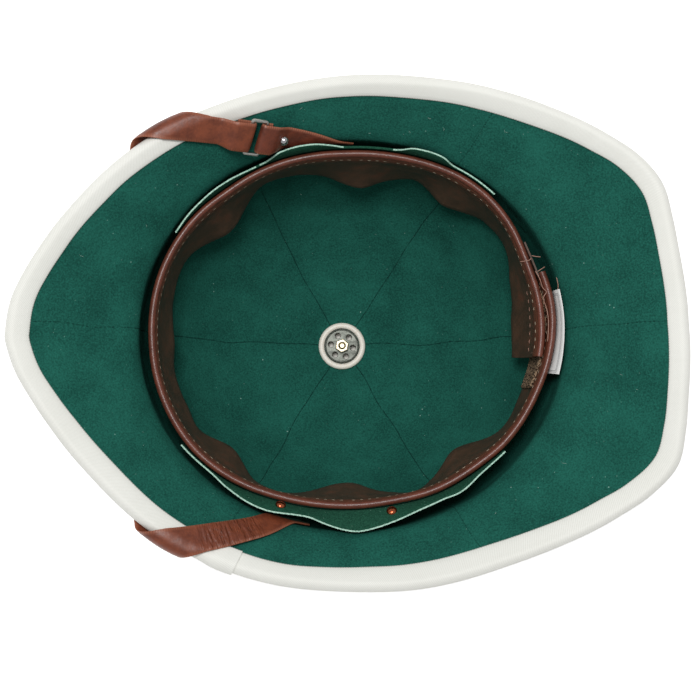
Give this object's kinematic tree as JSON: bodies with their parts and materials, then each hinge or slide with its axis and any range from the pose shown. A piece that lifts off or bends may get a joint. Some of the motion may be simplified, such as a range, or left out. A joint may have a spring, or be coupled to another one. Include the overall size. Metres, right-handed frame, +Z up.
{
  "type": "pith helmet",
  "caption": "Pith helmet lying upside down: pointed wide brim, white bound rim, green lined crown, leather sweatband, chin strap stowed round the front.",
  "frame": {"origin": "middle of the flat face of the ventilator cap, on which the helmet lies upside down", "axes": "+X to the rear of the helmet, +Y to the wearer's left, +Z up out of the head opening (the helmet's own down)"},
  "size_m": [0.3457, 0.2668, 0.1707],
  "materials": {
    "cover_cloth": "glued white cotton twill over pith, matt",
    "lining_cloth": "dark green cotton, matt, fine weave",
    "binding_tape": "white cotton twill tape, matt",
    "band_leather": "brown leather, half matt, piped edge",
    "grip_tape": "brown loop tape, fuzzy",
    "label_cloth": "white woven tag, bare",
    "strip_cloth": "dark green cloth, pale mint cut edge",
    "strap_leather": "red-brown leather, satin, pale cut edges",
    "slide_metal": "dull grey plated steel",
    "stud_chrome": "polished nickel",
    "rivet_copper": "polished copper dome",
    "vent_enamel": "cream enamel, half gloss",
    "vent_plate_metal": "dull grey drilled plate",
    "nut_brass": "pale plated brass",
    "cap_cloth": "cloth-covered white button"
  },
  "bodies": {
    "root": {"shell": "cover_cloth", "lining": "lining_cloth", "brim_binding": "binding_tape", "sweatband": "band_leather", "grip_tape": "grip_tape", "label": "label_cloth", "strip_left": "strip_cloth", "strip_right": "strip_cloth", "chin_strap": "strap_leather", "strap_tab": "strap_leather", "strap_slide": "slide_metal", "strap_stud": "stud_chrome", "rivet_front": "rivet_copper", "rivet_rear": "rivet_copper", "vent_ring": "vent_enamel", "vent_plate": "vent_plate_metal", "vent_nut": "nut_brass", "vent_cap": "cap_cloth"}
  },
  "joints": []
}
